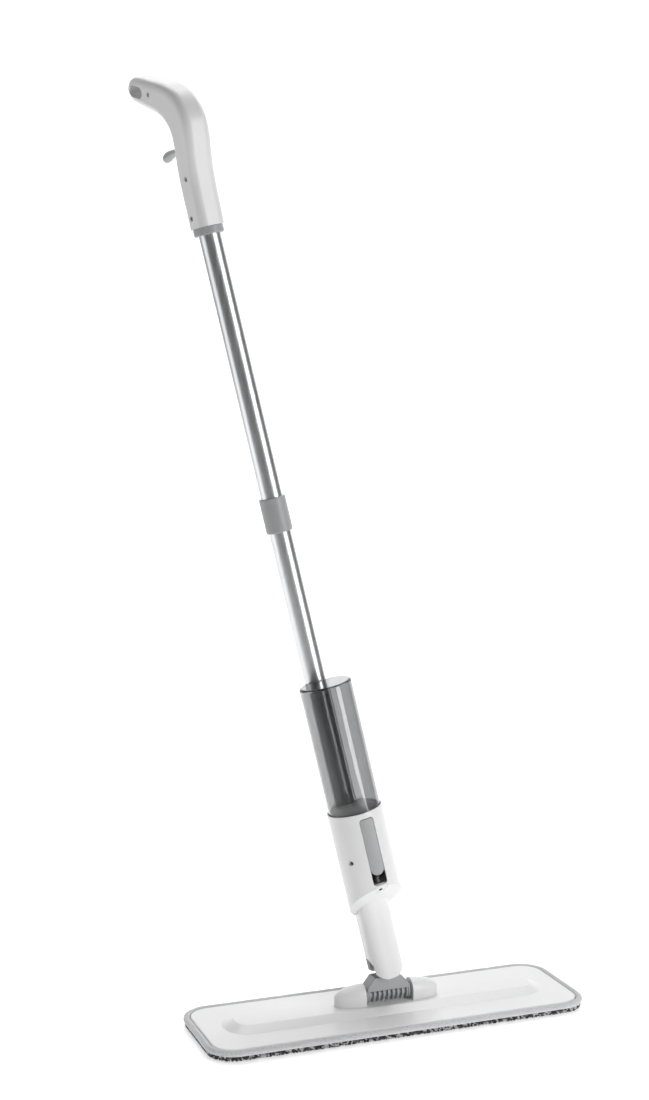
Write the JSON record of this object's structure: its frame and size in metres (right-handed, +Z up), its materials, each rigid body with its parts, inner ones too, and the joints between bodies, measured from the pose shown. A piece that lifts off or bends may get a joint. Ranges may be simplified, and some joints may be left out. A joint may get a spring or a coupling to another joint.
{
  "type": "spray flat mop",
  "caption": "Flat mop with a rounded rectangular head, chenille cloth pad, double-hinged neck, sectional steel pole, clear water tank in a moulded housing and a hooked trigger handle.",
  "frame": {"origin": "on the floor, centred on the head plate under the head hinge", "axes": "+X along the head to the right, +Y to the back, +Z up; the pole leans 12.8 degrees to -X and 3 degrees to +Y"},
  "size_m": [0.4626, 0.205, 1.0105],
  "materials": {
    "white_shell": "smooth gloss white",
    "grey_plastic": "satin mid grey",
    "dark_plastic": "matte dark grey",
    "steel_tube": "polished along the tube",
    "steel_wire": "plain bright steel",
    "clear_tank": "clear, glossy",
    "chenille": "mixed black and white looped pile",
    "binding_cloth": "light grey woven tape",
    "hook_fabric": "dark hook tape",
    "seal_rubber": "soft, matte"
  },
  "bodies": {
    "head": {"plate_cover": "white_shell", "plate_base": "dark_plastic", "plate_screws": "steel_wire", "hook_strips": "hook_fabric", "dome_left": "white_shell", "dome_right": "white_shell", "hinge_pin": "steel_wire", "pad": "chenille", "pad_binding": "binding_cloth"},
    "yoke": {"yoke": "grey_plastic"},
    "pole": {"neck": "white_shell", "neck_insert": "grey_plastic", "swivel_pin": "steel_wire", "housing_left": "white_shell", "housing_right": "white_shell", "housing_screw": "steel_wire", "nozzle_block": "white_shell", "spray_nozzle": "dark_plastic", "slider_spring": "steel_wire", "tank_socket": "dark_plastic", "socket_seal": "seal_rubber", "pump_body": "dark_plastic", "pump_cap": "dark_plastic", "pump_spring": "steel_wire", "rod_guides": "dark_plastic", "inlet_hose": "seal_rubber", "outlet_hose": "seal_rubber", "lower_tube": "steel_tube", "upper_tube": "steel_tube", "tube_coupler": "grey_plastic", "coupler_plug": "dark_plastic", "handle_collar": "grey_plastic", "handle_left": "white_shell", "handle_right": "white_shell", "handle_screws": "steel_wire", "trigger_pin": "steel_wire", "trigger_spring": "steel_wire"},
    "slider": {"release_slider": "grey_plastic"},
    "tank": {"tank": "clear_tank", "tank_cap": "dark_plastic", "tank_valve": "dark_plastic", "valve_spring": "steel_wire"},
    "rod": {"pull_rod": "steel_wire", "pump_piston": "dark_plastic"},
    "trigger": {"trigger": "grey_plastic"}
  },
  "joints": [
    {"name": "head_tilt", "type": "hinge", "parent": "head", "child": "yoke", "pos_m": [0, 0, 0.027], "axis": [1, 0, 0], "range_deg": [-55, 60]},
    {"name": "neck_swivel", "type": "hinge", "parent": "yoke", "child": "pole", "pos_m": [0, 0.00141, 0.05396], "axis": [0, 0.9986, -0.0523], "range_deg": [-27, 52]},
    {"name": "trigger_pull", "type": "hinge", "parent": "pole", "child": "trigger", "pos_m": [-0.19613, 0.04167, 0.93041], "axis": [0.9538, 0.219, 0.2055], "range_deg": [0, 18], "stiffness_Nm_per_rad": 0.8, "springref_deg": -11.46, "deforming": ["trigger_spring"]},
    {"name": "rod_slide", "type": "slide", "parent": "pole", "child": "rod", "axis": [-0.2215, 0.051, 0.9738], "range_m": [0, 0.0052], "deforming": ["pump_spring"]},
    {"name": "slider_release", "type": "slide", "parent": "pole", "child": "slider", "axis": [0.2215, -0.051, -0.9738], "range_m": [0, 0.009], "stiffness_N_per_m": 150, "springref_m": -0.01, "deforming": ["slider_spring"]},
    {"name": "tank_lift", "type": "slide", "parent": "pole", "child": "tank", "axis": [-0.2215, 0.051, 0.9738], "range_m": [0, 0.06]}
  ],
  "couplings": [
    {"joint": "rod_slide", "follows": "trigger_pull", "m_per_rad": 0.015}
  ]
}
